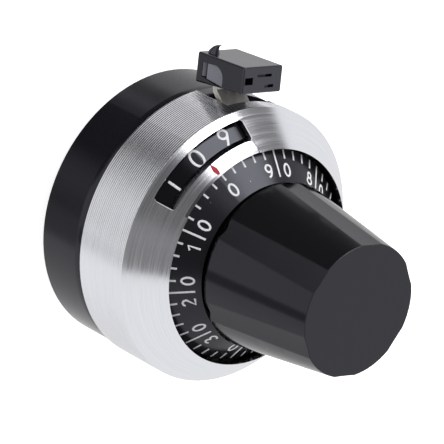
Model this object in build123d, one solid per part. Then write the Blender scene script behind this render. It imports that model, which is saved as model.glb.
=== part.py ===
from build123d import *
import os
from math import acos, atan, cos, degrees, pi, radians, sin, sqrt, tan

# Turns-counting dial for a multi-turn potentiometer, in millimetres.
# +Z runs along the shaft from the panel to the front of the knob, +X towards the index mark.
# The origin is the centre of the rear face. Angles are degrees about +Z, clockwise ones negative.

# ---- driving dimensions ----
COVER_R = 11.1            # outer radius of the bright cover, 22.2 mm across
HOUSING_R = COVER_R - 0.18  # the black housing behind it stands a little inside
SHOULDER_Z = 4.75         # height of the step that the cover sits on
CONE_Z = 9.57             # height where the cover's cylinder turns into its cone
RIM_R = COVER_R - 2.41    # inner radius of the cover's cone
RIM_Z = 12.36             # height of that rim
KNOB_FOOT_Z = 13.85       # bottom of the fluted knob
KNOB_FOOT_R = 6.68
KNOB_FRONT_Z = 23.9       # front face of the knob
KNOB_FRONT_R = 5.3
SHAFT_R = 3.175           # quarter-inch shaft

# ---- fits and clearances ----
RUN = 0.04                # radial clearance of a running fit
REST = 0.03               # gap under a piece that slides on another
WALL = 0.45               # cover wall, measured across it
COVER_WALL = 0.6          # cover wall along its cylinder
RING_GAP = 0.12           # gap between the cover's cone and the counter ring's cone
LEDGE_R = COVER_R - COVER_WALL - 0.5  # inside of the spigot that centres the cover

# ---- gear train: one planet meshes with a fixed ring and with the counter ring ----
FIXED_TEETH = 42
COUNTER_TEETH = 44
PLANET_TEETH = 10
PRESSURE = radians(20)
SHIFT = 0.5               # profile shift, in modules, shared by a gear and its mate
ADDENDUM = 0.8
DEDENDUM = 1.0
BACKLASH = 0.04           # taken off each planet tooth's thickness
FIXED_ROOT = LEDGE_R - 0.3  # root radius of the fixed teeth, inside the housing's wall
FIXED_MODULE = FIXED_ROOT / (FIXED_TEETH / 2 + SHIFT + DEDENDUM)
CENTRE = FIXED_MODULE * (FIXED_TEETH - PLANET_TEETH) / 2  # from the shaft's axis to the planet's
COUNTER_MODULE = 2 * CENTRE / (COUNTER_TEETH - PLANET_TEETH)
PLANET_TIP = FIXED_MODULE * (PLANET_TEETH / 2 + SHIFT + ADDENDUM)
PLANET_ANGLE = 150        # where the planet stands at rest
FIXED_Z = (4.6, 6.6)      # bottom and top of the fixed teeth
COUNTER_Z = (8.45, 10.05)
ARBOR_R = 0.8

# ---- housing ----
FLOOR_Z = (3.4, 4.2)      # bottom and top of the floor
RECESS_R = HOUSING_R - 3.52  # rear recess over the potentiometer's nut
LEDGE_Z = 7.55            # the brake ring lies on this ledge
SPIGOT_TOP = 8.4
SHOULDER_CURVE = (0.85, 0.15)  # height and depth of the soft curve below the shoulder
KEY_TOP = 6.1             # the housing's key fills the lower part of the cover's notch
KEY_PLAY = 0.5            # degrees between the key and each end of the notch
REAR_EDGE_R = 0.12
PIN_R = 0.85              # anti-rotation pin
PIN_AT = (RECESS_R + HOUSING_R) / 2
PIN_LENGTH = 1.3

# ---- window, index strip and lever notch in the cover ----
WINDOW_R = (RIM_R + 0.72, COVER_R - 0.5)
WINDOW_ENDS = (-25.8, 27.2)  # angles of its two ends
WINDOW_CHAMFER = 0.05
COVER_EDGE_R = 0.12       # rounding between the cover's cylinder and its cone
WINDOW_CORNER = 0.2 * (WINDOW_R[1] - WINDOW_R[0])
STRIP_STEP = 0.05         # the index strip lies this much lower than the cone
NOTCH = (-67.0, -26.3)    # angles between which the lever can move
NOTCH_TOP = 8.35

# ---- lever ----
LEVER_ANGLE = -37.2
PLATE_T = 0.45
PLATE_R = (LEDGE_R - 1.45, LEDGE_R - 0.05)
PAD_HALF = 12             # half of a brake pad's angle
TONGUE_SIDES = (-0.9, 1.8)  # the tongue's two edges, off centre towards the index
TANG_HALF = 1.3           # half width of the tongue inside the grip
BEND_R = 0.3              # the tongue's bends
GRIP_LENGTH = 5.36
GRIP_WIDTH = 3.93
GRIP_HEIGHT = (2.35, 2.05)  # at the rear and at the front
GRIP_R = COVER_R + 1.8
GRIP_Z = 6.77
GRIP_TILT = 6.2           # the front end stands further out
GRIP_EDGE_R = 0.15
POCKET_TOP = 0.5          # arched pocket in each side of the grip: distance outwards of its arch
POCKET_Z = (-2.0, 0.35)   # along the grip, from its middle
POCKET_SILL = (-0.63, -1.15)  # the sill drops from the rear to the front of the pocket
POCKET_ARCH_R = 0.95
POCKET_DEPTH = 0.9
CORE_R = 1.25             # round core that stands in each pocket, its axis outwards
CORE_Z = -0.3
CORE_UNDER = 0.2          # its crest lies this far under the grip's side
# Moulded slots in the grip's front: across, outwards, width, height, depth.
SLOTS = ((1.4, -0.06, 0.8, 0.55, 0.7), (-0.14, 0.33, 1.45, 0.22, 0.35), (-0.67, -0.5, 0.9, 0.24, 0.3))

# ---- hub and knob ----
BORE_R = SHAFT_R + 0.015
JOURNAL_R = CENTRE - PLANET_TIP - 0.23  # clear of the planet's teeth
HUB_R = 4.9
HUB_Z = (2.5, 12.6, 20.0)  # rear end, shoulder, front end
BORE_TOP = 19.4
CLIP_R = BORE_R + 0.6 * (JOURNAL_R - BORE_R)  # floor of the retaining ring's groove
CLIP_HALF = 30            # half of the gap in the retaining ring
CLIP_PROUD = 0.9          # how far the retaining ring stands out of its groove
CLIP_Z = (2.75, 3.1)
THRUST_WIDTH = 1.6        # of the washer between that ring and the housing's floor
NECK_R = KNOB_FOOT_R - 0.78
DIAL_R = RIM_R - 0.19
DIAL_INNER_R = KNOB_FOOT_R - 0.33
DIAL_EDGE_T = 0.8         # thickness of the dial's outer edge
DIAL_SEAT = 1.2           # the dial's foot reaches this far below the groove's floor
DIAL_SLOPE = 0.813        # rise of the dial's cone per unit of radius
DIAL_EDGE_Z = 11.6
GROOVE_Z = 12.6           # floor of the groove round the knob's neck
CARRIER_R = LEDGE_R - 0.6
CARRIER_Z = (6.8, 7.3)
DIAL_TURN = -2.4          # the dial stands a third of a division past zero
FLUTES = 6
FLUTE_ANGLE = 24 + DIAL_TURN
FLUTE_CUTTER_R = 30.0
FLUTE_DEPTH = (0.07, 0.113)  # at the foot and at the front
CREST_R = 0.5             # rounding of the long edges between flutes and lobes
FOOT_EDGE_R = 0.28
ARCH_R = 1.1              # arch at the lower end of each flute, which shows the neck
ARCH_RISE = 0.45
FRONT_EDGE_R = 0.08
SCREW_R = 1.0
SCREW_Z = 17.2
SOCKET = (0.5, 0.8)       # radius and depth of the screws' hexagon socket
SCREW_ANGLES = (FLUTE_ANGLE - 120, FLUTE_ANGLE + 120)


def tube(outer, inner, bottom, top):
    """A ring about Z between two heights."""
    ring = Circle(outer) - Circle(inner)
    return extrude(Plane.XY.offset(bottom) * ring, top - bottom)


def disc(radius, bottom, top):
    return extrude(Plane.XY.offset(bottom) * Circle(radius), top - bottom)


def turned(points):
    """A solid of revolution from (radius, height) points."""
    outline = Polyline(*[(r, 0, z) for r, z in points], close=True)
    return revolve(make_face(outline), Axis.Z)


def sector(inner, outer, start, end, bottom, top, corner=0.0):
    """An upright block between two radii and two angles."""
    a, b = radians(start), radians(end)
    middle = (a + b) / 2
    p = [(r * cos(t), r * sin(t)) for r, t in ((inner, a), (outer, a), (outer, b), (inner, b))]
    outline = Curve() + [
        Line(p[0], p[1]),
        ThreePointArc(p[1], (outer * cos(middle), outer * sin(middle)), p[2]),
        Line(p[2], p[3]),
        ThreePointArc(p[3], (inner * cos(middle), inner * sin(middle)), p[0]),
    ]
    face = make_face(outline)
    if corner:
        face = fillet(face.vertices(), corner)
    return extrude(Plane.XY.offset(bottom) * face, top - bottom)


def involute(angle):
    return tan(angle) - angle


def tooth_outline(teeth, module, tip, root, thinning=0.0, steps=4):
    """Closed outline of a gear's teeth, one of them centred on +X."""
    pitch = teeth * module / 2
    base = pitch * cos(PRESSURE)
    thickness = module * (pi / 2 + 2 * SHIFT * tan(PRESSURE)) - thinning
    centre_half = thickness / (2 * pitch) + involute(PRESSURE)

    def half_angle(r):
        return centre_half - involute(acos(min(1.0, base / r)))

    start = max(root, base)
    radii = [start + (tip - start) * k / (steps - 1) for k in range(steps)]
    if root < base:
        radii = [root] + radii
    points = []
    for k in range(teeth):
        centre = 2 * pi * k / teeth
        flank = [(r, half_angle(r)) for r in radii]
        points += [(r * cos(centre - h), r * sin(centre - h)) for r, h in flank]
        points += [(r * cos(centre + h), r * sin(centre + h)) for r, h in reversed(flank)]
    return make_face(Polyline(*points, close=True))


def ring_tooth_cutter(teeth, module, bottom, top):
    """What is cut from a ring to leave internal teeth, with a space on the planet's angle."""
    tip = module * (teeth / 2 + SHIFT + DEDENDUM)
    root = module * (teeth / 2 + SHIFT - ADDENDUM)
    outline = Rot(0, 0, PLANET_ANGLE) * tooth_outline(teeth, module, tip, root)
    return extrude(Plane.XY.offset(bottom) * outline, top - bottom)


def planet_teeth(module, bottom, top):
    """The planet's teeth, on the planet's own axis."""
    tip = module * (PLANET_TEETH / 2 + SHIFT + ADDENDUM)
    root = module * (PLANET_TEETH / 2 + SHIFT - DEDENDUM)
    outline = tooth_outline(PLANET_TEETH, module, tip, root, BACKLASH)
    return extrude(Plane.XY.offset(bottom) * outline, top - bottom)


def at_planet(shape):
    return Rot(0, 0, PLANET_ANGLE) * Pos(CENTRE, 0, 0) * shape


def cone_z(radius, depth=0.0):
    """Height of the cover's cone at a radius, or of a cone that lies that far under it."""
    rise = (RIM_Z - CONE_Z) / (COVER_R - RIM_R)
    return RIM_Z - rise * (radius - RIM_R) - depth * sqrt(1 + rise * rise)


def make_rear_housing():
    spigot_r = COVER_R - COVER_WALL
    fixed_tip = FIXED_ROOT - 1.2
    body = turned([
        (RECESS_R, 0), (HOUSING_R, 0), (HOUSING_R, SHOULDER_Z), (spigot_r, SHOULDER_Z),
        (spigot_r, SPIGOT_TOP), (LEDGE_R, SPIGOT_TOP), (LEDGE_R, LEDGE_Z),
        (FIXED_ROOT, LEDGE_Z), (FIXED_ROOT, FIXED_Z[1]), (fixed_tip, FIXED_Z[1]),
        (fixed_tip, FLOOR_Z[1]), (JOURNAL_R + RUN, FLOOR_Z[1]),
        (JOURNAL_R + RUN, FLOOR_Z[0]), (RECESS_R, FLOOR_Z[0]),
    ])
    rear_edges = body.edges().filter_by(GeomType.CIRCLE).group_by(Axis.Z)[0]
    body = fillet(rear_edges.sort_by(SortBy.RADIUS)[-1], REAR_EDGE_R)
    body -= ring_tooth_cutter(FIXED_TEETH, FIXED_MODULE, FLOOR_Z[1], FIXED_Z[1])
    body -= shoulder_curve()
    key = [NOTCH[0] + KEY_PLAY, NOTCH[1] - KEY_PLAY]
    body += sector(spigot_r - 0.1, HOUSING_R - 0.03, *key, SHOULDER_Z - 0.3, KEY_TOP)
    body -= sector(LEDGE_R, COVER_R, *NOTCH, KEY_TOP, SPIGOT_TOP + 1)
    body += Pos(-PIN_AT, 0, 0) * disc(PIN_R, -PIN_LENGTH, 0.5)
    return body


def shoulder_curve():
    """What is cut from the housing's side below the cover to leave a long soft curve."""
    drop, inset = SHOULDER_CURVE
    low = (HOUSING_R, 0, SHOULDER_Z - drop)
    high = (HOUSING_R - inset, 0, SHOULDER_Z)
    arc = TangentArc(low, high, tangent=(0, 0, 1))
    back = Polyline(high, (COVER_R, 0, SHOULDER_Z), (COVER_R, 0, SHOULDER_Z - drop), low)
    return revolve(make_face([arc, back]), Axis.Z)


def make_cover():
    inner_r = COVER_R - COVER_WALL
    body = turned([
        (inner_r, SHOULDER_Z), (COVER_R, SHOULDER_Z), (COVER_R, CONE_Z), (RIM_R, RIM_Z),
        (RIM_R, cone_z(RIM_R, WALL)), (inner_r, cone_z(inner_r, WALL)),
    ])
    outside = body.edges().filter_by(GeomType.CIRCLE).group_by(SortBy.RADIUS)[-1]
    body = fillet(outside.sort_by(Axis.Z)[-1], COVER_EDGE_R)
    body -= sector(*WINDOW_R, *WINDOW_ENDS, CONE_Z - 2, RIM_Z + 1, WINDOW_CORNER)
    start, end = RIM_R - 1, WINDOW_R[0] + 0.1
    above_strip = turned([
        (start, cone_z(start, STRIP_STEP)), (end, cone_z(end, STRIP_STEP)),
        (end, RIM_Z + 2), (start, RIM_Z + 2),
    ])
    body -= above_strip & sector(start, end, *WINDOW_ENDS, CONE_Z, RIM_Z + 2)
    body = chamfer(window_edges(body), WINDOW_CHAMFER)
    body -= sector(inner_r - 1, COVER_R + 1, *NOTCH, SHOULDER_Z - 1, NOTCH_TOP)
    return body


def window_edges(body):
    """The window's outer edges on the cone, apart from the one under the index strip."""
    def on_cone(edge):
        at = edge.center()
        radius = sqrt(at.X ** 2 + at.Y ** 2)
        inside = WINDOW_R[0] + 0.2 < radius < WINDOW_R[1] + 0.05 and at.X > 0
        return inside and abs(at.Z - cone_z(radius)) < 0.03

    return body.edges().filter_by(on_cone)


def make_counter_ring():
    outer = COVER_R - COVER_WALL - RUN
    depth = WALL + RING_GAP
    inner = RIM_R + 0.26
    teeth_tip = COUNTER_MODULE * (COUNTER_TEETH / 2 + SHIFT - ADDENDUM)
    body = turned([
        (teeth_tip - 0.2, COUNTER_Z[0]), (outer, COUNTER_Z[0]), (outer, cone_z(outer, depth)),
        (inner, cone_z(inner, depth)), (inner, COUNTER_Z[1]), (teeth_tip - 0.2, COUNTER_Z[1]),
    ])
    return body - ring_tooth_cutter(COUNTER_TEETH, COUNTER_MODULE, COUNTER_Z[0], COUNTER_Z[1])


def make_planet_pinion():
    """Lower planet gear in one piece with the arbor that runs in the carrier."""
    gear = planet_teeth(FIXED_MODULE, FIXED_Z[0] + 0.1, FIXED_Z[1] - 0.05)
    return at_planet(gear + disc(ARBOR_R, FIXED_Z[0] + 0.1, COUNTER_Z[1]))


def make_planet_wheel():
    """Upper planet gear, pressed on the arbor, with a boss that sets it clear of the carrier."""
    gear = planet_teeth(COUNTER_MODULE, COUNTER_Z[0] - 0.05, COUNTER_Z[1])
    boss = disc(ARBOR_R + 0.5, CARRIER_Z[1] + 0.05, COUNTER_Z[0])
    return at_planet(gear + boss - disc(ARBOR_R, 0, HUB_Z[2]))


def make_carrier():
    body = tube(CARRIER_R, JOURNAL_R, *CARRIER_Z)
    return body - at_planet(disc(ARBOR_R + RUN, *CARRIER_Z))


def make_hub():
    body = disc(JOURNAL_R, HUB_Z[0], HUB_Z[1]) + disc(HUB_R, HUB_Z[1], HUB_Z[2])
    body -= disc(BORE_R, HUB_Z[0], BORE_TOP)
    body -= tube(JOURNAL_R + 1, CLIP_R, *CLIP_Z)
    for angle in SCREW_ANGLES:
        body -= radial_pin(angle, SCREW_R, 0, HUB_R + 1)
    return body


def radial_pin(angle, radius, start, end):
    """A round bar that points away from the shaft, at the set screws' height."""
    bar = Cylinder(radius, end - start, rotation=(0, 90, 0))
    return Rot(0, 0, angle) * Pos((start + end) / 2, 0, SCREW_Z) * bar


def make_set_screws():
    screws = Part()
    for angle in SCREW_ANGLES:
        screw = radial_pin(angle, SCREW_R, BORE_R + 0.06, HUB_R)
        socket = extrude(Plane.YZ.offset(HUB_R - SOCKET[1]) * RegularPolygon(SOCKET[0], 6), 1)
        screws += screw - Rot(0, 0, angle) * Pos(0, 0, SCREW_Z) * socket
    return screws


def make_retaining_ring():
    ring = tube(JOURNAL_R + CLIP_PROUD, CLIP_R, *CLIP_Z)
    return ring - sector(1, JOURNAL_R + 2, 180 - CLIP_HALF, 180 + CLIP_HALF, *CLIP_Z)


def make_thrust_washer():
    return tube(JOURNAL_R + THRUST_WIDTH, JOURNAL_R + RUN, CLIP_Z[1], FLOOR_Z[0])


def make_slip_washer():
    tooth_tip = FIXED_MODULE * (FIXED_TEETH / 2 + SHIFT - ADDENDUM)
    return tube(CARRIER_R + 0.2, tooth_tip, FIXED_Z[1], CARRIER_Z[0])


def make_dial_ring():
    top = DIAL_EDGE_Z + DIAL_SLOPE * (DIAL_R - DIAL_INNER_R)
    return turned([
        (JOURNAL_R, GROOVE_Z - DIAL_SEAT), (DIAL_INNER_R, GROOVE_Z - DIAL_SEAT),
        (DIAL_R, DIAL_EDGE_Z - DIAL_EDGE_T),
        (DIAL_R, DIAL_EDGE_Z), (DIAL_INNER_R, top), (DIAL_INNER_R, GROOVE_Z), (JOURNAL_R, GROOVE_Z),
    ])


def make_knob_cap():
    body = turned([
        (0, KNOB_FOOT_Z), (KNOB_FOOT_R, KNOB_FOOT_Z), (KNOB_FRONT_R, KNOB_FRONT_Z), (0, KNOB_FRONT_Z),
    ])
    body -= flute_cutters()
    height = KNOB_FRONT_Z - KNOB_FOOT_Z
    long_edges = body.edges().filter_by(lambda e: e.bounding_box().size.Z > 0.9 * height)
    body = fillet(long_edges, CREST_R)
    body = fillet(body.edges().group_by(Axis.Z)[-1], FRONT_EDGE_R)
    body = fillet(body.edges().group_by(Axis.Z)[0], FOOT_EDGE_R)
    body -= foot_arches()
    body += disc(NECK_R, GROOVE_Z, KNOB_FOOT_Z + FOOT_EDGE_R)
    body -= disc(HUB_R, GROOVE_Z, HUB_Z[2])
    for angle in SCREW_ANGLES:
        body -= radial_pin(angle, SCREW_R + 0.15, HUB_R - 1, KNOB_FOOT_R + 1)
    return body


def flute_cutters():
    """Round bars that lean with the knob's taper and leave a shallow hollow flute each."""
    foot = KNOB_FOOT_R - FLUTE_DEPTH[0]
    front = KNOB_FRONT_R - FLUTE_DEPTH[1]
    height = KNOB_FRONT_Z - KNOB_FOOT_Z
    lean = atan((foot - front) / height)
    bar = Cylinder(FLUTE_CUTTER_R, 2 * height)
    middle = Pos((foot + front) / 2 + FLUTE_CUTTER_R / cos(lean), 0, (KNOB_FOOT_Z + KNOB_FRONT_Z) / 2)
    leaning = middle * Rot(0, -degrees(lean), 0) * bar
    return [Rot(0, 0, FLUTE_ANGLE + 360 * k / FLUTES) * leaning for k in range(FLUTES)]


def foot_arches():
    """Round bars that point away from the shaft and lift the flutes' lower ends."""
    bar = Cylinder(ARCH_R, KNOB_FOOT_R, rotation=(0, 90, 0))
    low = Pos(KNOB_FOOT_R, 0, KNOB_FOOT_Z + ARCH_RISE - ARCH_R) * bar
    return [Rot(0, 0, FLUTE_ANGLE + 360 * k / FLUTES) * low for k in range(FLUTES)]


def at_lever(shape):
    return Rot(0, 0, LEVER_ANGLE) * shape


def tongue():
    """The bent strip from the brake ring out to the grip, drawn as (radius, height)."""
    z = LEDGE_Z + REST + PLATE_T / 2
    bends = [(LEDGE_R + 0.25, z), (COVER_R + 0.35, GRIP_Z - 0.42), (GRIP_R - 0.05, GRIP_Z - 0.57)]
    path = FilletPolyline((PLATE_R[1] - 0.4, z), *bends, radius=BEND_R)
    right, left = TONGUE_SIDES
    strip = Pos(0, left, 0) * Rot(90, 0, 0) * extrude(trace(path, PLATE_T), left - right)
    grip_start = GRIP_R - GRIP_HEIGHT[0] / 2 + 0.1
    return strip - [beside_tang(grip_start, side) for side in (1, -1)]


def beside_tang(start, side):
    """A block beside the tang, on one side of it, from where the grip starts."""
    block = Box(2 * GRIP_HEIGHT[0], 2, GRIP_LENGTH, align=(Align.MIN, Align.MIN, Align.CENTER))
    placed = Pos(start, TANG_HALF, GRIP_Z) * block
    return placed if side > 0 else mirror(placed, Plane.XZ)


def make_lever_plate():
    z = LEDGE_Z + REST
    ring = tube(PLATE_R[1], PLATE_R[0], z, z + PLATE_T)
    return at_lever(ring + tongue())


def make_brake_pads():
    top = LEDGE_Z + REST
    bottom = CARRIER_Z[1] + REST
    pads = Part()
    for k in range(3):
        centre = LEVER_ANGLE + 120 * k
        pads += sector(PLATE_R[0] + 0.05, CARRIER_R - 0.05, centre - PAD_HALF, centre + PAD_HALF, bottom, top)
    return pads


def make_lever_grip():
    """Tapered grip moulded over the tongue, in the frame of its own centre, then tilted."""
    half = GRIP_LENGTH / 2
    rear, front = (h / 2 for h in GRIP_HEIGHT)
    side = make_face(Polyline((-rear, -half), (rear, -half), (front, half), (-front, half), close=True))
    body = Rot(90, 0, 0) * extrude(side, GRIP_WIDTH / 2, both=True)
    body = fillet(body.edges(), GRIP_EDGE_R)
    body -= side_pockets()
    body -= front_slots()
    placed = Pos(GRIP_R, 0, GRIP_Z) * Rot(0, GRIP_TILT, 0) * body
    return at_lever(placed - tongue())


def side_pockets():
    """A pocket in each side: an arch over a sloping sill, round a core that nearly fills it."""
    rear, front = POCKET_Z
    arch = make_face(Polyline(
        (POCKET_SILL[0], rear), (POCKET_TOP, rear), (POCKET_TOP, front), (POCKET_SILL[1], front), close=True,
    ))
    top_front = arch.vertices().group_by(Axis.X)[-1].sort_by(Axis.Y)[-1]
    arch = fillet(top_front, POCKET_ARCH_R)
    side = GRIP_WIDTH / 2
    pocket = Pos(0, side + 1, 0) * Rot(90, 0, 0) * extrude(arch, POCKET_DEPTH + 1)
    core = Pos(0, side - CORE_UNDER - CORE_R, CORE_Z) * Rot(0, 90, 0) * Cylinder(CORE_R, 2 * GRIP_HEIGHT[0])
    pocket -= core
    return [pocket, mirror(pocket, Plane.XZ)]


def front_slots():
    """Boxes that are cut into the front end."""
    boxes = []
    for across, out, width, height, depth in SLOTS:
        boxes.append(Pos(out, across, GRIP_LENGTH / 2) * Box(height, width, 2 * depth))
    return boxes


MAKERS = {
    "rear_housing": make_rear_housing,
    "cover": make_cover,
    "counter_ring": make_counter_ring,
    "planet_pinion": make_planet_pinion,
    "planet_wheel": make_planet_wheel,
    "carrier": make_carrier,
    "hub": make_hub,
    "set_screws": make_set_screws,
    "retaining_ring": make_retaining_ring,
    "thrust_washer": make_thrust_washer,
    "slip_washer": make_slip_washer,
    "dial_ring": make_dial_ring,
    "knob_cap": make_knob_cap,
    "lever_plate": make_lever_plate,
    "brake_pads": make_brake_pads,
    "lever_grip": make_lever_grip,
}

os.makedirs("parts", exist_ok=True)
for name, maker in MAKERS.items():
    export_step(Part() + maker(), f"parts/{name}.step")
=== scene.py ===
# %% [markdown]
# # A small turns-counting dial
# A dial like this sits on the shaft of a ten-turn potentiometer. The fluted black knob turns a
# ring with fifty divisions, a planet gear moves a second ring at a twenty-second of that speed
# under a window in the bright cover, and a small lever at the side brakes the knob.
# The solids come from the CAD frame. This lesson lights them, prints the scales, and gives every
# surface its finish.

# %% Load the frame
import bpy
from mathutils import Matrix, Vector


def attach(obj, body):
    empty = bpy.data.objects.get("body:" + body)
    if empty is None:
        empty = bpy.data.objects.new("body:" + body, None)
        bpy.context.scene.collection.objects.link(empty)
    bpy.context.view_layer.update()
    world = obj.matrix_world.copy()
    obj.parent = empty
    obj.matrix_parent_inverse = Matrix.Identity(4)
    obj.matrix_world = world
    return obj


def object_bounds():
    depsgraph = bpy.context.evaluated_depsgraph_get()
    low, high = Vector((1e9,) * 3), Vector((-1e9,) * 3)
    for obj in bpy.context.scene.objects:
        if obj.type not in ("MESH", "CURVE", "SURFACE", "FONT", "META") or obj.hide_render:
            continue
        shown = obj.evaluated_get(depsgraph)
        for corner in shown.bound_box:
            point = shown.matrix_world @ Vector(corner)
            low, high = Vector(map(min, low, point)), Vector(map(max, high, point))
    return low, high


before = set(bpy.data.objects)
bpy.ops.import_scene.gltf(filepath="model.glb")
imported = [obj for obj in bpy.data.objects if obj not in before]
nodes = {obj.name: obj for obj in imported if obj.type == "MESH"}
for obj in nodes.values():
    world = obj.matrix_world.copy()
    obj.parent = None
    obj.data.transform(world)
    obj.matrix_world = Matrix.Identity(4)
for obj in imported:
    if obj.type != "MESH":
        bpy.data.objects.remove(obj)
cad_box = [list(corner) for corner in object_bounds()]

import math

import bpy
from mathutils import Matrix, Vector

MM = 0.001


def in_mm(box):
    return [[round(value / MM, 2) for value in corner] for corner in box]


print("nodes:", len(nodes), "box in mm:", in_mm(cad_box))

# %% [markdown]
# ## The camera
# A long lens from about 38 cm keeps the ellipses of the rings nearly parallel. The camera looks
# down at 43 degrees and is rolled on its side, so the dial's axis runs to the lower right of
# the picture. Two axes and a roll angle say this more plainly than Euler angles would.

# %% Place the camera
CAMERA_AZIMUTH = math.radians(28.339)
CAMERA_ELEVATION = math.radians(43.241)
CAMERA_ROLL = math.radians(117.760)
CAMERA_DISTANCE = 376.64 * MM
CAMERA_TARGET = Vector((2.506, 0.0815, 9.514)) * MM
CAMERA_NEAR = 10 * MM
LENS_MM = 403.6
SENSOR_MM = 36


def direction(azimuth, elevation):
    """Unit vector from the object towards a place in the studio."""
    flat = math.cos(elevation)
    return Vector((math.cos(azimuth) * flat, math.sin(azimuth) * flat, math.sin(elevation)))


towards_camera = direction(CAMERA_AZIMUTH, CAMERA_ELEVATION)
level_right = Vector((-math.sin(CAMERA_AZIMUTH), math.cos(CAMERA_AZIMUTH), 0))
level_up = towards_camera.cross(level_right)
camera_right = level_right * math.cos(CAMERA_ROLL) + level_up * math.sin(CAMERA_ROLL)
camera_up = level_up * math.cos(CAMERA_ROLL) - level_right * math.sin(CAMERA_ROLL)

bpy.ops.object.camera_add()
camera = bpy.context.object
camera.name = "camera"
camera.data.lens = LENS_MM
camera.data.sensor_width = SENSOR_MM
camera.data.clip_start = CAMERA_NEAR
placing = Matrix((camera_right, camera_up, towards_camera)).transposed().to_4x4()
placing.translation = CAMERA_TARGET + towards_camera * CAMERA_DISTANCE
camera.matrix_world = placing
bpy.context.scene.camera = camera
bpy.context.scene.view_settings.view_transform = "Standard"
print("camera looks from", [round(v, 3) for v in towards_camera])

# %% [markdown]
# ## The studio
# Glossy black plastic and turned metal show little but the room. So the room is built first:
# a white world, one soft lamp on the index side, and darker patches where a camera, a person
# and a table's edge would stand. A world shader holds the patches, because a world is
# infinitely far away and can't get in the way of another view.

# %% A helper for nodes
def add_node(tree, kind, inputs=None, **settings):
    """Adds a shader node, sets its fields, and fills or links its inputs by name or number."""
    node = tree.nodes.new(kind)
    for field, value in settings.items():
        setattr(node, field, value)
    for key, value in (inputs or {}).items():
        if isinstance(value, bpy.types.NodeSocket):
            tree.links.new(value, node.inputs[key])
        else:
            node.inputs[key].default_value = value
    return node


def maths(tree, operation, first, second=0.0):
    """One step of arithmetic, as a node."""
    return add_node(tree, "ShaderNodeMath", {0: first, 1: second}, operation=operation).outputs[0]


# %% The white world with its darker patches
WORLD_LEVEL = 0.98
# centre azimuth and elevation in degrees, inner and outer radius in degrees, level inside
PATCHES = [
    (-56, -35, 6, 15, 0.18),
    (-23, -22, 19, 33, 0.12),
    (8, -52, 20, 31, 0.12),
    (41, -57, 8, 21, 0.57),
    (67, -54, 7, 20, 0.31),
    (80, -46, 5, 12, 0.50),
    (76, -28, 3, 8, 0.35),
    (10, 36, 14, 26, 0.13),
    (40, 40, 12, 22, 0.15),
    (67, 47, 16, 24, 0.26),
    (-77, 14, 9, 18, 0.22),
    (15, 58, 8, 18, 0.36),
    (61, 55, 9, 18, 0.22),
    (72, 33, 7, 13, 0.24),
]

world = bpy.data.worlds.new("white_room")
bpy.context.scene.world = world
world.use_nodes = True
tree = world.node_tree
tree.nodes.clear()
heading = add_node(tree, "ShaderNodeTexCoord").outputs["Generated"]
level = WORLD_LEVEL
for azimuth, elevation, inner, outer, inside in PATCHES:
    centre = direction(math.radians(azimuth), math.radians(elevation))
    nearness = add_node(
        tree, "ShaderNodeVectorMath", {0: heading, 1: centre}, operation="DOT_PRODUCT"
    ).outputs["Value"]
    level = add_node(
        tree, "ShaderNodeMapRange",
        {"Value": nearness, "From Min": math.cos(math.radians(outer)),
         "From Max": math.cos(math.radians(inner)), "To Min": level, "To Max": inside},
        interpolation_type="SMOOTHSTEP",
    ).outputs[0]
room = add_node(tree, "ShaderNodeBackground", {"Strength": level})
seen = add_node(tree, "ShaderNodeBackground", {"Strength": 1.0})
camera_ray = add_node(tree, "ShaderNodeLightPath").outputs["Is Camera Ray"]
both = add_node(
    tree, "ShaderNodeMixShader", {0: camera_ray, 1: room.outputs[0], 2: seen.outputs[0]}
)
add_node(tree, "ShaderNodeOutputWorld", {"Surface": both.outputs[0]})
print("world level", WORLD_LEVEL, "with", len(PATCHES), "patches")

# %% The lamp
LAMP_AZIMUTH = math.radians(-49)
LAMP_ELEVATION = math.radians(33)
LAMP_ROLL = math.radians(50)
LAMP_DISTANCE = 300 * MM
LAMP_AIM = Vector((0, 0, 10)) * MM
LAMP_SIZE = (176 * MM, 242 * MM)
LAMP_WATTS = 0.50

bpy.ops.object.light_add(type="AREA")
lamp = bpy.context.object
lamp.name = "soft_lamp"
lamp.data.shape = "RECTANGLE"
lamp.data.size, lamp.data.size_y = LAMP_SIZE
lamp.data.energy = LAMP_WATTS
towards_lamp = direction(LAMP_AZIMUTH, LAMP_ELEVATION)
lamp_middle = LAMP_AIM + towards_lamp * LAMP_DISTANCE
lamp.matrix_world = (
    Matrix.Translation(lamp_middle)
    @ towards_lamp.to_track_quat("Z", "Y").to_matrix().to_4x4()
    @ Matrix.Rotation(LAMP_ROLL, 4, "Z")
)
lamp.visible_camera = False
print("lamp at", [round(v / MM) for v in lamp_middle], "mm,", LAMP_WATTS, "W")

# %% The floor
FLOOR_RADIUS = 250 * MM
FLOOR_Z = cad_box[0][2]
FLOOR_COLOUR = (0.92, 0.92, 0.93, 1)
FLOOR_ROUGHNESS = 0.9
FLOOR_LIFT = 0.85  # what the floor adds in the camera's eye, so that it shows white

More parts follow.
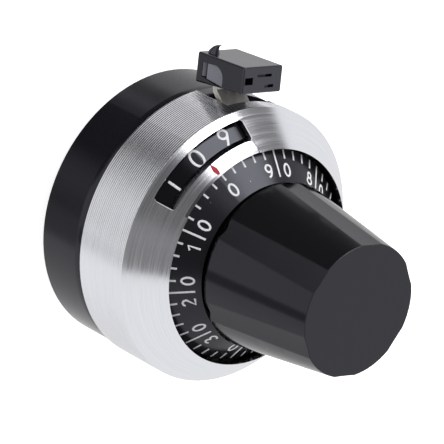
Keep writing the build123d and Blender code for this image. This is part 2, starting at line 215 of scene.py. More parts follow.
bpy.ops.mesh.primitive_circle_add(
    vertices=64, radius=FLOOR_RADIUS, fill_type="NGON", location=(0, 0, FLOOR_Z)
)
floor = bpy.context.object
floor.name = "floor"
bpy.ops.object.transform_apply(location=True)
floor_paint = bpy.data.materials.new("pale_floor")
floor_paint.use_nodes = True
tree = floor_paint.node_tree
paint = tree.nodes["Principled BSDF"]
paint.inputs["Base Color"].default_value = FLOOR_COLOUR
paint.inputs["Roughness"].default_value = FLOOR_ROUGHNESS
paint.inputs["Specular IOR Level"].default_value = 0.0
paths = add_node(tree, "ShaderNodeLightPath")
seen = maths(tree, "MAXIMUM", paths.outputs["Is Camera Ray"], paths.outputs["Is Glossy Ray"])
glow = maths(tree, "MULTIPLY", seen, FLOOR_LIFT)
lift = add_node(tree, "ShaderNodeEmission", {"Color": (1, 1, 1, 1), "Strength": glow})
sum_up = add_node(tree, "ShaderNodeAddShader", {0: paint.outputs[0], 1: lift.outputs[0]})
tree.links.new(sum_up.outputs[0], tree.nodes["Material Output"].inputs["Surface"])
floor.data.materials.append(floor_paint)
floor.visible_glossy = False
print("floor at", round(FLOOR_Z / MM, 2), "mm")

# %% [markdown]
# ## Turning marks
# The cover is turned on a lathe. Its cylinder keeps the feed marks of the tool as fine, even
# grooves, and its cone was polished with cloth, which leaves irregular hairlines. Both run round
# the axis, so both are functions of one number: the distance along the profile. The noise is
# read at a point that moves fast along the profile and slowly round the axis, which draws it out
# into hairlines without a seam.

# %% Helpers for node groups
def new_group(name, inputs, outputs):
    """An empty shader group with named sockets; returns the tree and its two end nodes."""
    tree = bpy.data.node_groups.new(name, "ShaderNodeTree")
    for label, kind, value in inputs:
        socket = tree.interface.new_socket(label, in_out="INPUT", socket_type="NodeSocket" + kind)
        socket.default_value = value
    for label, kind in outputs:
        tree.interface.new_socket(label, in_out="OUTPUT", socket_type="NodeSocket" + kind)
    return tree, tree.nodes.new("NodeGroupInput"), tree.nodes.new("NodeGroupOutput")


def millimetres(tree):
    """Object coordinates in millimetres, whole and split."""
    place = add_node(tree, "ShaderNodeTexCoord").outputs["Object"]
    scaled = add_node(
        tree, "ShaderNodeVectorMath", {0: place, "Scale": 1 / MM}, operation="SCALE"
    ).outputs[0]
    split = add_node(tree, "ShaderNodeSeparateXYZ", {0: scaled})
    return scaled, split.outputs[0], split.outputs[1], split.outputs[2]


def joined(tree, x, y, z):
    return add_node(tree, "ShaderNodeCombineXYZ", {0: x, 1: y, 2: z}).outputs[0]


def distance_from_axis(tree, x, y):
    flat = joined(tree, x, y, 0.0)
    return add_node(tree, "ShaderNodeVectorMath", {0: flat}, operation="LENGTH").outputs["Value"]


def noise(tree, vector, scale, detail=2.0, rough=0.5):
    return add_node(
        tree, "ShaderNodeTexNoise",
        {"Vector": vector, "Scale": scale, "Detail": detail, "Roughness": rough},
    ).outputs[0]


def ramp(tree, value, low, high, to_low=0.0, to_high=1.0):
    return add_node(
        tree, "ShaderNodeMapRange",
        {"Value": value, "From Min": low, "From Max": high, "To Min": to_low, "To Max": to_high},
    ).outputs[0]


MIX_FIRST, MIX_SECOND, MIX_RESULT = 6, 7, 2  # a Mix node's sockets for colours


def mixed(tree, factor, first, second):
    """Two colours mixed. Each is red, green and blue, or another node's output."""
    ends = [c if isinstance(c, bpy.types.NodeSocket) else (*c, 1) for c in (first, second)]
    mixing = {"Factor": factor, MIX_FIRST: ends[0], MIX_SECOND: ends[1]}
    return add_node(tree, "ShaderNodeMix", mixing, data_type="RGBA").outputs[MIX_RESULT]


# %% The group of turning marks
CONE_LEAN = 0.372  # makes the distance grow by 1 along the cylinder and along the cone

marks, marks_in, marks_out = new_group(
    "turning_marks",
    [
        ("Pitch", "Float", 0.18),
        ("Turns Per Round", "Float", 1.2),
        ("Hairlines Per mm", "Float", 12.0),
    ],
    [("Grooves", "Float"), ("Hairlines", "Float")],
)
_, x, y, z = millimetres(marks)
radius = distance_from_axis(marks, x, y)
along = maths(marks, "SUBTRACT", z, maths(marks, "MULTIPLY", radius, CONE_LEAN))
turns = maths(marks, "DIVIDE", along, marks_in.outputs["Pitch"])
wave = maths(marks, "SINE", maths(marks, "MULTIPLY", turns, 2 * math.pi))
slow = marks_in.outputs["Turns Per Round"]
around_x = maths(marks, "MULTIPLY", maths(marks, "DIVIDE", x, radius), slow)
around_y = maths(marks, "MULTIPLY", maths(marks, "DIVIDE", y, radius), slow)
fast = maths(marks, "MULTIPLY", along, marks_in.outputs["Hairlines Per mm"])
hairs = noise(marks, joined(marks, around_x, around_y, fast), 1.0, 3.0, 0.6)
marks.links.new(wave, marks_out.inputs["Grooves"])
marks.links.new(hairs, marks_out.inputs["Hairlines"])
print(marks.name, "has", len(marks.nodes), "nodes")

# %% A helper for materials
COOL = (0.84, 0.86, 1.0, 1)  # tint of the reflections on the black plastics


def new_material(name, colour, metallic=0.0, **more):
    """A Principled material with its plain values set on the shader's own sockets."""
    material = bpy.data.materials.new(name)
    material.use_nodes = True
    shader = material.node_tree.nodes["Principled BSDF"]
    shader.inputs["Base Color"].default_value = (*colour, 1)
    shader.inputs["Metallic"].default_value = metallic
    for label, value in more.items():
        shader.inputs[label.replace("_", " ")].default_value = value
    return material, material.node_tree, shader


def use_group(tree, group, **values):
    node = add_node(tree, "ShaderNodeGroup", node_tree=group)
    for label, value in values.items():
        node.inputs[label.replace("_", " ")].default_value = value
    return node


def bump(tree, shader, height, distance_mm, strength=1.0, under=None):
    """Feeds a height, in parts of distance_mm, to the shader's normal."""
    inputs = {"Strength": strength, "Distance": distance_mm * MM, "Height": height}
    if under is not None:
        inputs["Normal"] = under
    node = add_node(tree, "ShaderNodeBump", inputs)
    tree.links.new(node.outputs[0], shader.inputs["Normal"])
    return node.outputs[0]


def give(material, *names):
    """Puts a finish on CAD nodes."""
    for name in names:
        nodes[name].material_slots[0].material = material
    print(material.name, "on", ", ".join(names))


# %% The cover: turned aluminium
# the cover's profile, in mm
CYLINDER_TOP = 9.57   # height where the grooved cylinder ends and the cone begins
COVER_R = 11.1
RIM_Z = 12.36         # height of the cone's rim
RIM_R = 8.69
INSIDE_R = COVER_R - 0.1  # what is nearer the axis than this isn't the cylinder's outside
STRIP_FROM = 0.06     # the index strip lies this much under the cone, or a little more
WALL_FROM = 0.10      # what lies deeper is the window's wall or the cover's inside, and gets painted shade
STRIP_INNER_R = 8.85  # inside this, the strip's inner edge is painted dark, a painted reflection of the black dial
ALUMINIUM = (0.93, 0.94, 0.985)
HAIR_DARK, HAIR_LIGHT = (0.90, 0.91, 0.975), (0.955, 0.965, 1.0)
# the colour of the painted shade on the window's wall and the cover's inside, and of the painted
# dial reflection on the strip's inner edge
PAINTED_SHADE_COLOUR = (0.35, 0.35, 0.38)
GROOVE_MM, HAIR_MM = 0.009, 0.003  # depths of the two kinds of marks

aluminium, tree, shader = new_material("turned_aluminium", ALUMINIUM, metallic=1.0)
turning = use_group(tree, marks, Pitch=0.20, Hairlines_Per_mm=9.0)
_, x, y, z = millimetres(tree)
on_cylinder = ramp(tree, z, CYLINDER_TOP + 0.02, CYLINDER_TOP - 0.02)
grooves = maths(tree, "MULTIPLY", turning.outputs["Grooves"], on_cylinder)
hairlines = turning.outputs["Hairlines"]
rough = ramp(tree, hairlines, 0.3, 0.7, 0.10, 0.24)
tree.links.new(rough, shader.inputs["Roughness"])
tint = mixed(tree, ramp(tree, hairlines, 0.35, 0.65), HAIR_DARK, HAIR_LIGHT)
# Painted shade: what lies deeper than the cone gets a darker colour. The strip's inner edge gets
# the same dark colour as a painted reflection of the black dial.
radius = distance_from_axis(tree, x, y)
cone_here = ramp(tree, radius, RIM_R, COVER_R, RIM_Z, CYLINDER_TOP)
depth = maths(tree, "SUBTRACT", cone_here, z)
inside = maths(tree, "LESS_THAN", radius, INSIDE_R)
wall_shade = maths(tree, "MULTIPLY", maths(tree, "GREATER_THAN", depth, WALL_FROM), inside)
on_strip = maths(tree, "GREATER_THAN", depth, STRIP_FROM)
edge_dial_reflection = maths(tree, "MULTIPLY", on_strip, maths(tree, "LESS_THAN", radius, STRIP_INNER_R))
in_shade = maths(tree, "MAXIMUM", wall_shade, edge_dial_reflection)
tree.links.new(mixed(tree, in_shade, tint, PAINTED_SHADE_COLOUR), shader.inputs["Base Color"])
groove_bump = bump(tree, shader, grooves, GROOVE_MM)
bump(tree, shader, hairlines, HAIR_MM, under=groove_bump)
give(aluminium, "cover")

# %% [markdown]
# ## Black plastics
# The housing and the knob are moulded in black thermoplastic from a polished mould, so they are
# nearly mirrors with a faint waviness. The knob's front face was left satin. Dust settles on
# all of them as a few pale specks.

# %% The group of specks
specks, specks_in, specks_out = new_group(
    "dust_specks",
    [("Cells Per mm", "Float", 1.4), ("Size", "Float", 0.08), ("Share", "Float", 0.3)],
    [("Mask", "Float")],
)
place, _, _, _ = millimetres(specks)
cells = add_node(
    specks, "ShaderNodeTexVoronoi", {"Vector": place, "Scale": specks_in.outputs["Cells Per mm"]},
)
near = maths(specks, "LESS_THAN", cells.outputs["Distance"], specks_in.outputs["Size"])
lot = add_node(specks, "ShaderNodeSeparateColor", {0: cells.outputs["Color"]}).outputs[0]
chosen = maths(specks, "LESS_THAN", lot, specks_in.outputs["Share"])
specks.links.new(maths(specks, "MULTIPLY", near, chosen), specks_out.inputs["Mask"])
print(specks.name, "has", len(specks.nodes), "nodes")

# %% The group of moulded waviness
skin, skin_in, skin_out = new_group(
    "moulded_skin",
    [("Waves Per mm", "Float", 0.5), ("Grains Per mm", "Float", 18.0)],
    [("Waves", "Float"), ("Grain", "Float")],
)
place, _, _, _ = millimetres(skin)
waves = noise(skin, place, skin_in.outputs["Waves Per mm"], 1.0)
grain = noise(skin, place, skin_in.outputs["Grains Per mm"], 3.0, 0.6)
skin.links.new(waves, skin_out.inputs["Waves"])
skin.links.new(grain, skin_out.inputs["Grain"])
print(skin.name, "has", len(skin.nodes), "nodes")

# %% A helper for moulded plastic
BLACK_MIRROR = 0.54  # how strongly black plastic mirrors: a little more than plain plastic
DUST_COLOUR = (0.30, 0.30, 0.31)


def dusted(tree, colour, dust, dust_colour=DUST_COLOUR):
    """Pale specks over a colour. Dust is how many cells a mm, the specks' size and share."""
    cells_per_mm, size, share = dust
    spots = use_group(tree, specks, Cells_Per_mm=cells_per_mm, Size=size, Share=share)
    return mixed(tree, spots.outputs["Mask"], colour, dust_colour)


def plastic(name, colour, mirror, scales, dust, gloss, relief, spread=(0.3, 0.7)):
    """Moulded plastic. Mirror is the strength of its reflections and scales is its waves and
    grains a mm. Gloss is its lowest and highest roughness, reached at the spread of the grain.
    Relief is what lifts its surface, by how many mm and how strongly."""
    material, tree, shader = new_material(
        name, colour, Specular_IOR_Level=mirror, Specular_Tint=COOL
    )
    surface = use_group(tree, skin, Waves_Per_mm=scales[0], Grains_Per_mm=scales[1])
    rough = ramp(tree, surface.outputs["Grain"], *spread, *gloss)
    tree.links.new(rough, shader.inputs["Roughness"])
    tree.links.new(dusted(tree, colour, dust), shader.inputs["Base Color"])
    lifted, depth, strength = relief
    bump(tree, shader, surface.outputs[lifted], depth, strength)
    return material


# %% The housing: from a polished mould, so nearly a mirror
give(
    plastic(
        "housing_black", (0.005, 0.005, 0.007), mirror=BLACK_MIRROR, scales=(0.35, 8.0),
        dust=(0.9, 0.05, 0.15), gloss=(0.10, 0.18), spread=(0.35, 0.65),
        relief=("Waves", 0.02, 0.5),
    ),
    "rear_housing",
)

# %% The dial ring: satin, so that its figures read from any side
give(
    plastic(
        "dial_black", (0.004, 0.004, 0.005), mirror=BLACK_MIRROR, scales=(1.0, 22.0),
        dust=(1.5, 0.09, 0.14), gloss=(0.18, 0.28), relief=("Grain", 0.004, 0.5),
    ),
    "dial_ring",
)

# %% The counter ring: gloss, under the window
give(
    plastic(
        "counter_black", (0.004, 0.004, 0.005), mirror=BLACK_MIRROR, scales=(0.8, 10.0),
        dust=(1.8, 0.06, 0.10), gloss=(0.08, 0.16), relief=("Waves", 0.01, 0.4),
    ),
    "counter_ring",
)

# %% The lever's grip: half gloss, and rough inside its pockets, where a paler grey is painted light
GRIP_SCALES, GRIP_DUST = (0.9, 12.0), (1.2, 0.05, 0.08)

grip_black = plastic(
    "grip_black", (0.008, 0.008, 0.011), mirror=1.0, scales=GRIP_SCALES, dust=GRIP_DUST,
    gloss=(0.12, 0.22), relief=("Waves", 0.015, 0.4),
)
give(grip_black, "lever_grip")
# the pockets' pale grey is painted light, standing in for the bright room they reflect, not the
# plastic's own colour
pocket_painted_light = plastic(
    "pocket_painted_light", (0.25, 0.25, 0.285), mirror=0.8, scales=GRIP_SCALES, dust=GRIP_DUST,
    gloss=(0.35, 0.5), relief=("Grain", 0.004, 0.5),
)

# %% The knob: gloss on the flutes, satin on the front
KNOB_FRONT = 23.9
# the front's colour is a shade paler than the flutes': a painted sheen standing in for the front's
# stronger reflection
FLUTE_COLOUR, FRONT_SHEEN_COLOUR = (0.005, 0.005, 0.006), (0.008, 0.008, 0.010)
KNOB_DUST, KNOB_DUST_COLOUR = (0.8, 0.05, 0.12), (0.2, 0.2, 0.21)

knob_black, tree, shader = new_material(
    "knob_black", FLUTE_COLOUR, Specular_IOR_Level=BLACK_MIRROR, Specular_Tint=COOL
)
surface = use_group(tree, skin, Waves_Per_mm=0.3, Grains_Per_mm=14.0)
_, _, _, z = millimetres(tree)
on_front = ramp(tree, z, KNOB_FRONT - 0.05, KNOB_FRONT - 0.01)
gloss = ramp(tree, surface.outputs["Grain"], 0.3, 0.7, 0.06, 0.16)
satin = ramp(tree, surface.outputs["Grain"], 0.3, 0.7, 0.38, 0.50)
plain_first, plain_second = 2, 3  # a Mix node's sockets for numbers
rough = add_node(
    tree, "ShaderNodeMix", {"Factor": on_front, plain_first: gloss, plain_second: satin}
).outputs[0]
tree.links.new(rough, shader.inputs["Roughness"])
# painted sheen: the front face gets the paler colour
colour = mixed(tree, on_front, FLUTE_COLOUR, FRONT_SHEEN_COLOUR)
dusty = dusted(tree, colour, KNOB_DUST, KNOB_DUST_COLOUR)
tree.links.new(dusty, shader.inputs["Base Color"])
bump(tree, shader, surface.outputs["Waves"], 0.02, 0.4)
give(knob_black, "knob_cap")

# %% [markdown]
# ## The metals and the natural plastic inside
# The brake ring is stamped from nickel-plated steel, the hub is turned brass, and the planet
# gears and washers are natural acetal. Little of this shows from the front, but the rear recess
# and the lever's notch look right in on it.

# %% Steel, brass, acetal
def plain_metal(name, colour, roughness, depth):
    """A turned or stamped metal: fine marks round the axis, and a cloudy change in gloss."""
    material, tree, shader = new_material(name, colour, metallic=1.0)
    turning = use_group(tree, marks, Hairlines_Per_mm=14.0)
    surface = use_group(tree, skin, Waves_Per_mm=1.5, Grains_Per_mm=20.0)
    rough = ramp(tree, surface.outputs["Grain"], 0.3, 0.7, roughness - 0.08, roughness + 0.10)
    tree.links.new(rough, shader.inputs["Roughness"])
    darker = tuple(0.8 * c for c in colour)
    tint = mixed(tree, ramp(tree, surface.outputs["Waves"], 0.35, 0.65), darker, colour)
    tree.links.new(tint, shader.inputs["Base Color"])
    bump(tree, shader, turning.outputs["Hairlines"], depth)
    return material


# finish: colour, roughness, depth of the marks in mm, and the nodes that have it
METALS = {
    "plated_steel": ((0.84, 0.82, 0.78), 0.60, 0.010, ("lever_plate", "carrier")),
    "washer_steel": ((0.62, 0.62, 0.60), 0.30, 0.010, ("thrust_washer", "retaining_ring")),
    "turned_brass": ((0.80, 0.62, 0.34), 0.26, 0.012, ("hub",)),
    "black_steel": ((0.10, 0.10, 0.10), 0.35, 0.008, ("set_screws",)),
}
for name, (colour, roughness, depth, users) in METALS.items():
    give(plain_metal(name, colour, roughness, depth), *users)

ACETAL_DARK, ACETAL_LIGHT = (0.72, 0.70, 0.63), (0.80, 0.78, 0.73)
acetal, tree, shader = new_material("natural_acetal", ACETAL_LIGHT)
surface = use_group(tree, skin, Waves_Per_mm=0.6, Grains_Per_mm=12.0)
cloudy = ramp(tree, surface.outputs["Waves"], 0.3, 0.7)
tree.links.new(mixed(tree, cloudy, ACETAL_DARK, ACETAL_LIGHT), shader.inputs["Base Color"])
rough = ramp(tree, surface.outputs["Grain"], 0.3, 0.7, 0.32, 0.48)
tree.links.new(rough, shader.inputs["Roughness"])
give(acetal, "planet_pinion", "planet_wheel", "brake_pads", "slip_washer")

# %% White and red filling paint
def filling_paint(name, colour, darker):
    """Paint rubbed into an engraving: matt, and a little uneven."""
    material, tree, shader = new_material(name, colour)
    surface = use_group(tree, skin, Waves_Per_mm=6.0, Grains_Per_mm=30.0)
    tint = mixed(tree, ramp(tree, surface.outputs["Waves"], 0.3, 0.6), darker, colour)
    tree.links.new(tint, shader.inputs["Base Color"])
    rough = ramp(tree, surface.outputs["Grain"], 0.3, 0.7, 0.45, 0.65)
    tree.links.new(rough, shader.inputs["Roughness"])
    return material


white_paint = filling_paint("white_paint", (0.90, 0.90, 0.93), (0.76, 0.76, 0.80))
red_paint = filling_paint("red_paint", (0.42, 0.012, 0.025), (0.25, 0.006, 0.015))
print("paints:", white_paint.name, red_paint.name)

# %% [markdown]
# ## The scale on the dial ring
# A real dial is engraved on the cone and filled with white paint: fifty divisions, every fifth
# one long. A tick is a shallow bar with its edges broken, laid on the cone at the index. It is
# modelled once, then copied and turned about the shaft for each division.

# %% Sizes of the dial's cone
DIAL_ZERO = math.radians(-2.4)  # the dial stands a third of a division past its zero
DIVISIONS = 50
PITCH = 2 * math.pi / DIVISIONS
DIAL_EDGE_R = 8.5
DIAL_EDGE_Z = 11.6
DIAL_SLOPE = 0.813


def dial_height(radius):
    """Height of the dial's cone, in mm, at a radius in mm."""
    return DIAL_EDGE_Z + DIAL_SLOPE * (DIAL_EDGE_R - radius)


def deselect_all():
    if bpy.context.object and bpy.context.object.mode != "OBJECT":
        bpy.ops.object.mode_set(mode="OBJECT")
    bpy.ops.object.select_all(action="DESELECT")


def choose(*objects):
    """Leaves just these objects selected, the first one active."""
    deselect_all()
    for thing in objects:
        thing.select_set(True)
    bpy.context.view_layer.objects.active = objects[0]


def joined_pieces(name, pieces, material, body):
    """Joins copies into one piece that rides on a body."""
    choose(*pieces)
    if len(pieces) > 1:
        bpy.ops.object.join()
    whole = bpy.context.object
    whole.name = name
    whole.data.name = name
    whole.data.materials.clear()
    whole.data.materials.append(material)
    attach(whole, body)
    print(name, len(whole.data.polygons), "faces")
    return whole


# %% One tick, then fifty
TICK_WIDTH = 0.16
TICK_PROUD = 0.012  # how far the paint stands out of the surface
TICK_TOP_R = 8.42
SHORT_TICK_R = 7.84
LONG_TICK_R = 6.71
BROKEN_EDGE = 0.4   # share of the paint's height that the bevel takes
LONG_EVERY = 5


def one_tick(inner, outer):
    """A painted bar on the dial's cone, over the X axis, with its long edges broken."""
    deselect_all()
    slant = math.hypot(1, DIAL_SLOPE)
    middle = (inner + outer) / 2
    bpy.ops.mesh.primitive_cube_add(size=1)
    bar = bpy.context.object
    size = Vector(((outer - inner) * slant, TICK_WIDTH, 2 * TICK_PROUD)) * MM
    bpy.ops.transform.resize(value=size)
    bpy.ops.object.transform_apply(scale=True)
    bpy.ops.object.mode_set(mode="EDIT")
    bpy.ops.mesh.select_all(action="SELECT")
    bpy.ops.mesh.bevel(offset=BROKEN_EDGE * TICK_PROUD * MM, segments=1)
    bpy.ops.object.mode_set(mode="OBJECT")
    tilt = Matrix.Rotation(math.atan(DIAL_SLOPE), 4, "Y")
    place = Matrix.Translation(Vector((middle, 0, dial_height(middle))) * MM)
    bar.data.transform(place @ tilt)
    return bar


def copies_round(model, angles):
    """Copies of a piece, each with its own mesh, turned about the shaft."""
    turned = []
    for angle in angles:
        copy = model.copy()
        copy.data = model.data.copy()
        copy.data.transform(Matrix.Rotation(angle, 4, "Z"))
        bpy.context.collection.objects.link(copy)
        turned.append(copy)
    bpy.data.objects.remove(model)
    return turned


long_ones = [k for k in range(DIVISIONS) if k % LONG_EVERY == 0 and k > 0]
short_ones = [k for k in range(DIVISIONS) if k not in long_ones]
ticks = []
for inner, places in ((LONG_TICK_R, long_ones), (SHORT_TICK_R, short_ones)):
    angles = [DIAL_ZERO + k * PITCH for k in places]
    ticks += copies_round(one_tick(inner, TICK_TOP_R), angles)
joined_pieces("dial_ticks", ticks, white_paint, "knob")

# %% [markdown]
# ## Engraved numerals
# Numerals like these are cut by a round-nosed tool that follows a single line, so each one is a
# line first. It is drawn as an engraver would: a vertex is extruded from point to point, the
# wire becomes a curve with a round nib, and the tube is pressed nearly flat. A font would have
# strokes of changing width and square ends.

# %% Lines of the ten numerals
def bow(cx, cy, rx, ry, start, end, step=20):
    """Points along part of an oval, from one angle to another in degrees."""
    count = max(2, round(abs(end - start) / step))
    angles = [math.radians(start + (end - start) * k / count) for k in range(count + 1)]
    return [(cx + rx * math.cos(a), cy + ry * math.sin(a)) for a in angles]


# x runs from -1 to 1 across a numeral, y from 0 at its foot to 1 at its top
NUMERALS = {
    "0": [bow(0, 0.5, 1, 0.5, 0, 360)],
    "1": [[(-0.95, 0.80), (0.15, 1), (0.15, 0)]],
    "2": [bow(-0.05, 0.74, 0.85, 0.26, 165, -25) + [(-0.95, 0), (1, 0)]],
    "3": [bow(-0.05, 0.77, 0.78, 0.23, 150, -70) + bow(-0.05, 0.27, 0.98, 0.27, 75, -150)],
    "4": [[(0.45, 0), (0.45, 1), (-1, 0.28), (1, 0.28)]],
    "5": [[(0.85, 1), (-0.7, 1), (-0.85, 0.55)] + bow(-0.05, 0.33, 0.98, 0.33, 130, -150)],
    "6": [
        bow(0, 0.29, 0.95, 0.29, 0, 360),
        [(-0.93, 0.33), (-0.75, 0.62), (-0.25, 0.88), (0.5, 1)],
    ],
    "7": [[(-1, 1), (1, 1), (-0.3, 0)]],
    "8": [bow(0, 0.76, 0.72, 0.24, 0, 360), bow(0, 0.27, 1, 0.27, 0, 360)],
    "9": [
        bow(0, 0.71, 0.95, 0.29, 0, 360),
        [(0.93, 0.67), (0.75, 0.38), (0.25, 0.12), (-0.5, 0)],
    ],
}
# four of the counter's larger numerals are drawn another way, with straight strokes
PLAIN = dict(NUMERALS)
PLAIN["0"] = [bow(0, 0.5, 1.12, 0.5, 0, 360)]
PLAIN["1"] = [[(0.12, -0.07), (0.12, 0.84)]]
PLAIN["6"] = [bow(0, 0.27, 1, 0.27, 0, 360), [(-0.9, 0.38), (0.9, 1)]]
PLAIN["9"] = [bow(0.25, 0.75, 0.95, 0.25, 0, 360), [(1.2, 0.7), (-0.2, 0)]]


# %% Draw one stroke with a round nib
def stroke(points, nib):
    """A flat tube along points in mm. The first and last points are the same on a closed one."""
    closed = (Vector(points[0]) - Vector(points[-1])).length < 1e-6
    deselect_all()
    bpy.ops.mesh.primitive_plane_add(size=nib)
    bpy.ops.object.mode_set(mode="EDIT")
    bpy.ops.mesh.merge(type="CENTER")
    bpy.ops.transform.translate(value=(*points[0], 0))
    for (x0, y0), (x1, y1) in zip(points, points[1:]):
        step = (x1 - x0, y1 - y0, 0)
        bpy.ops.mesh.extrude_vertices_move(TRANSFORM_OT_translate={"value": step})
    if closed:
        bpy.ops.mesh.select_all(action="SELECT")
        bpy.ops.mesh.remove_doubles(threshold=nib / 100)
    bpy.ops.object.mode_set(mode="OBJECT")
    bpy.ops.object.convert(target="CURVE")
    line = bpy.context.object.data
    line.dimensions = "3D"
    line.bevel_depth = nib / 2
    line.bevel_resolution = 2
    line.use_fill_caps = True
    bpy.ops.object.convert(target="MESH")
    return bpy.context.object


def numeral(strokes, half_width, height, nib):
    """One numeral as a flat mesh in mm, standing on its foot at the origin."""
    parts = [stroke([(x * half_width, y * height) for x, y in line], nib) for line in strokes]
    choose(*parts)
    if len(parts) > 1:
        bpy.ops.object.join()
    whole = bpy.context.object
    bpy.ops.object.mode_set(mode="EDIT")
    bpy.ops.mesh.select_all(action="SELECT")
    bpy.ops.transform.resize(value=(1, 1, 2 * TICK_PROUD / nib))
    bpy.ops.object.mode_set(mode="OBJECT")
    return whole


# %% Lay a numeral on a cone
def laid_on_cone(model, angle, foot, height_at, slant):
    """A copy of a flat numeral, its foot at a radius, wrapped on the cone with its top outwards."""
    copy = model.copy()
    copy.data = model.data.copy()
    bpy.context.collection.objects.link(copy)
    outwards = Vector((math.cos(angle), math.sin(angle), 0))
    clockwise = Vector((math.sin(angle), -math.cos(angle), 0))
    for vertex in copy.data.vertices:
        across, up, proud = vertex.co
        spot = outwards * (foot + up / slant) + clockwise * across
        spot.z = height_at(spot.length) + proud * slant
        vertex.co = spot * MM
    return copy


def numerals_round(table, places, half_width, height, nib, foot, height_at, slant):
    """Places is a list of (numeral, angle). Each numeral is modelled once."""
    laid = []
    for figure in sorted({f for f, _ in places}):
        model = numeral(table[figure], half_width, height, nib)
        laid += [laid_on_cone(model, a, foot, height_at, slant) for f, a in places if f == figure]
        bpy.data.objects.remove(model)
    return laid


# %% The dial's numerals
DIAL_FOOT_R = 6.77
DIAL_FIGURE = (0.28, 0.97, 0.17)  # half width, height and nib in mm
PAIR_SPREAD = math.radians(7.4)   # a long tick stands between the two figures of its number

places = [("0", DIAL_ZERO)]
for tens in range(1, 10):
    tick_angle = DIAL_ZERO + tens * LONG_EVERY * PITCH
    places += [(str(tens), tick_angle + PAIR_SPREAD), ("0", tick_angle - PAIR_SPREAD)]
dial_figures = numerals_round(
    NUMERALS, places, *DIAL_FIGURE, DIAL_FOOT_R, dial_height, math.hypot(1, DIAL_SLOPE)
)
joined_pieces("dial_numerals", dial_figures, white_paint, "knob")

# %% [markdown]
# ## The counter's numerals
# The counter ring has twenty-two places, because that is what its gears give: one place goes by
# for each turn of the knob. Two runs of 0 to 9 fill twenty of them, and the two places opposite
# the window stay bare.

# %% Place the counter's numerals
COUNTER_PLACES = 22
COUNTER_PITCH = 2 * math.pi / COUNTER_PLACES
COUNTER_ZERO = math.radians(1.25)
FIGURES = 10
BARE_PLACES = (10, 11)
CONE_RISE = (RIM_Z - CYLINDER_TOP) / (COVER_R - RIM_R)
CONE_SLANT = math.hypot(1, CONE_RISE)
RING_DEPTH = 0.57  # how far the counter's cone lies under the cover's
COUNTER_FIGURE = (0.40, 1.42, 0.20)  # half width, height and nib in mm
COUNTER_FOOT_R = 9.27


def under_cone(radius, depth):
    """Height, in mm, of what lies a depth under the cover's cone at a radius."""
    return RIM_Z - CONE_RISE * (radius - RIM_R) - depth * CONE_SLANT


def counter_height(radius):
    return under_cone(radius, RING_DEPTH)


places = []
for place in range(COUNTER_PLACES):
    if place not in BARE_PLACES:
        figure = place if place < FIGURES else place - FIGURES - len(BARE_PLACES)
        places.append((str(figure), COUNTER_ZERO + place * COUNTER_PITCH))
counter_figures = numerals_round(
    PLAIN, places, *COUNTER_FIGURE, COUNTER_FOOT_R, counter_height, CONE_SLANT
)
joined_pieces("counter_numerals", counter_figures, white_paint, "counter")

# %% [markdown]
# ## The index mark
# A drop of red paint fills a small milled hollow in the strip between the window and the rim.
# A disc is stretched into an oval, drawn in at its outer end, given a thickness and laid on the
# strip's slope.

# %% Make the red mark
MARK_LENGTH = 0.98
MARK_WIDTH = 0.42
MARK_R = 9.10
MARK_PROUD = 0.015
MARK_TAPER = 0.45  # share of its width that the mark loses at its outer end
STRIP_STEP = 0.05  # how far the strip lies under the cone

deselect_all()
bpy.ops.mesh.primitive_circle_add(vertices=28, radius=0.5, fill_type="NGON")
mark = bpy.context.object
bpy.ops.transform.resize(value=(MARK_LENGTH * MM, MARK_WIDTH * MM, 1))
bpy.ops.object.transform_apply(scale=True)
for vertex in mark.data.vertices:
    outer_share = max(0.0, vertex.co.x / (MARK_LENGTH * MM / 2))
    vertex.co.y *= 1 - MARK_TAPER * outer_share
bpy.ops.object.mode_set(mode="EDIT")
bpy.ops.mesh.select_all(action="SELECT")
bpy.ops.mesh.extrude_region_move(TRANSFORM_OT_translate={"value": (0, 0, 2 * MARK_PROUD * MM)})
bpy.ops.mesh.select_all(action="SELECT")
bpy.ops.mesh.normals_make_consistent(inside=False)
bpy.ops.object.mode_set(mode="OBJECT")
tilt = Matrix.Rotation(math.atan(CONE_RISE), 4, "Y")
sink = Matrix.Translation((0, 0, -MARK_PROUD * MM))
spot = Vector((MARK_R, 0, under_cone(MARK_R, STRIP_STEP))) * MM
mark.data.transform(Matrix.Translation(spot) @ tilt @ sink)
joined_pieces("index_mark", [mark], red_paint, "housing")

# %% [markdown]
# ## The torn gate on the grip
# The grip is moulded through a gate on its outer face, and where it was torn off a small hooked
# fin stays behind. It is grown from a disc: the disc is extruded upwards in short steps, and
# each new ring is moved along, made shorter and made narrower, until it ends in a tip.

# %% The grip's place
# the grip's own frame is outwards, across and along the grip
GRIP_ANGLE = math.radians(-37.2)
GRIP_PLACE = Vector((12.9, 0, 6.77)) * MM
GRIP_TILT = math.radians(6.2)
GRIP_WIDTH = 3.93  # in mm

to_grip = (
    Matrix.Rotation(GRIP_ANGLE, 4, "Z")
    @ Matrix.Translation(GRIP_PLACE)
    @ Matrix.Rotation(GRIP_TILT, 4, "Y")
)
print("grip's middle in mm:", [round(value / MM, 2) for value in to_grip.translation])

# %% Grow the fin
# how far the ring lies along, how high, and its half length and half width, all in mm
FIN_RINGS = [
    (0.00, -0.08, 0.58, 0.30),
    (0.02, 0.22, 0.47, 0.24),
    (0.10, 0.44, 0.35, 0.18),
    (0.23, 0.61, 0.26, 0.13),
    (0.43, 0.73, 0.19, 0.09),
    (0.60, 0.78, 0.12, 0.06),
    (0.72, 0.80, 0.04, 0.03),
]
FIN_SIDES = 12
FIN_SMOOTH = math.radians(50)
FIN_FOOT = Vector((1.12, 1.2, -1.75)) * MM
FIN_HEADING = math.radians(100)  # from across the grip towards its front

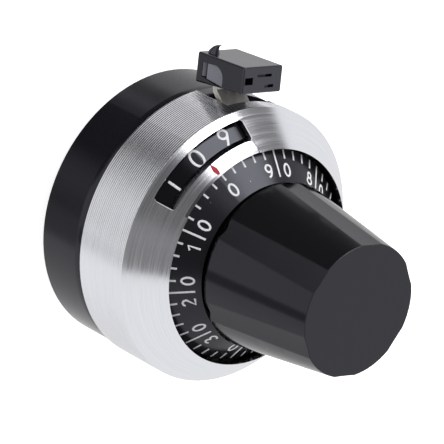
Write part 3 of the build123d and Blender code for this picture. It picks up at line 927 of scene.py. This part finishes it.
deselect_all()
along, height, half_length, half_width = FIN_RINGS[0]
bpy.ops.mesh.primitive_circle_add(vertices=FIN_SIDES, radius=MM, fill_type="NGON")
fin = bpy.context.object
bpy.ops.object.mode_set(mode="EDIT")
bpy.ops.mesh.select_all(action="SELECT")
bpy.ops.transform.resize(value=(half_length, half_width, 1))
bpy.ops.transform.translate(value=(along * MM, 0, height * MM))
for before, after in zip(FIN_RINGS, FIN_RINGS[1:]):
    step = ((after[0] - before[0]) * MM, 0, (after[1] - before[1]) * MM)
    bpy.ops.mesh.extrude_region_move(TRANSFORM_OT_translate={"value": step})
    bpy.ops.transform.resize(value=(after[2] / before[2], after[3] / before[3], 1))
bpy.ops.mesh.select_all(action="SELECT")
bpy.ops.mesh.normals_make_consistent(inside=False)
bpy.ops.object.mode_set(mode="OBJECT")
bpy.ops.object.shade_smooth_by_angle(angle=FIN_SMOOTH)
heading = Vector((0, math.cos(FIN_HEADING), math.sin(FIN_HEADING)))
outwards = Vector((1, 0, 0))
turn = Matrix((heading, outwards.cross(heading), outwards)).transposed().to_4x4()
fin.data.transform(to_grip @ Matrix.Translation(FIN_FOOT) @ turn)
joined_pieces("gate_fin", [fin], grip_black, "lever")

# %% [markdown]
# ## The scoop in the grip's sides
# In the pocket of each side stands a block whose face slopes away to the front, under the arch,
# with a narrow lip behind it. Both start as a cube: it is scaled to its place, the corners of
# its outer face are moved to give the slope, and the corner under the arch is bevelled away.
# The far side's pair is the near pair, mirrored. The plastic is rough in there, because the core
# that moulds a pocket isn't polished, and it is painted a paler grey: painted light for the
# bright room that the pockets reflect.

# %% Make the two scoops
# all in mm, in the grip's own frame
SCOOP_SIDE = GRIP_WIDTH / 2
SCOOP_BACK = 0.88        # how deep the blocks reach
SCOOP_TOP = 0.47         # the arch's crest
SILL_REAR = -0.57        # the sill's place at the pocket's rear
SILL_FALL = 0.2213       # and its fall for each mm to the front
POCKET_REAR = -2.0
CORNER_STEPS = 8
# from and to along the grip, the face's depth at each, and the corner under the arch
SCOOP_FACE = (-1.45, 0.33, 0.03, 0.27, 0.93)
SCOOP_LIP = (-1.98, -1.80, 0.02, 0.24, 0.0)


def scoop_block(rear, front, rear_depth, front_depth, corner):
    """A cube made into a block with a sloping outer face, a sloping sill and a round corner."""
    deselect_all()
    bpy.ops.mesh.primitive_cube_add(size=1)
    block = bpy.context.object
    middle = Vector((0, SCOOP_SIDE - SCOOP_BACK / 2, (rear + front) / 2))
    bpy.ops.object.mode_set(mode="EDIT")
    bpy.ops.mesh.select_all(action="SELECT")
    bpy.ops.transform.resize(value=(2 * SCOOP_TOP, SCOOP_BACK, front - rear))
    bpy.ops.transform.translate(value=middle)
    bpy.ops.object.mode_set(mode="OBJECT")
    for vertex in block.data.vertices:
        at_front = vertex.co.z > middle.z
        if vertex.co.y > middle.y:
            vertex.co.y -= front_depth if at_front else rear_depth
        if vertex.co.x < 0:
            vertex.co.x = SILL_REAR - SILL_FALL * (vertex.co.z - POCKET_REAR)
    if corner:
        for parts in (block.data.polygons, block.data.edges, block.data.vertices):
            parts.foreach_set("select", [False] * len(parts))
        for edge in block.data.edges:
            ends = [block.data.vertices[k].co for k in edge.vertices]
            edge.select = all(end.x > 0 and end.z > middle.z for end in ends)
        bpy.ops.object.mode_set(mode="EDIT")
        bpy.ops.mesh.select_mode(type="EDGE")
        bpy.ops.mesh.bevel(offset=corner, segments=CORNER_STEPS)
        bpy.ops.object.mode_set(mode="OBJECT")
    block.data.transform(Matrix.Scale(MM, 4))
    return block


near_side = [scoop_block(*values) for values in (SCOOP_FACE, SCOOP_LIP)]
far_side = [scoop_block(*values) for values in (SCOOP_FACE, SCOOP_LIP)]
for block in far_side:
    block.data.transform(Matrix.Scale(-1, 4, Vector((0, 1, 0))))
    block.data.flip_normals()  # a mirrored block is inside out
scoops = near_side + far_side
for block in scoops:
    block.data.transform(to_grip)
joined_pieces("pocket_scoops", scoops, pocket_painted_light, "lever")
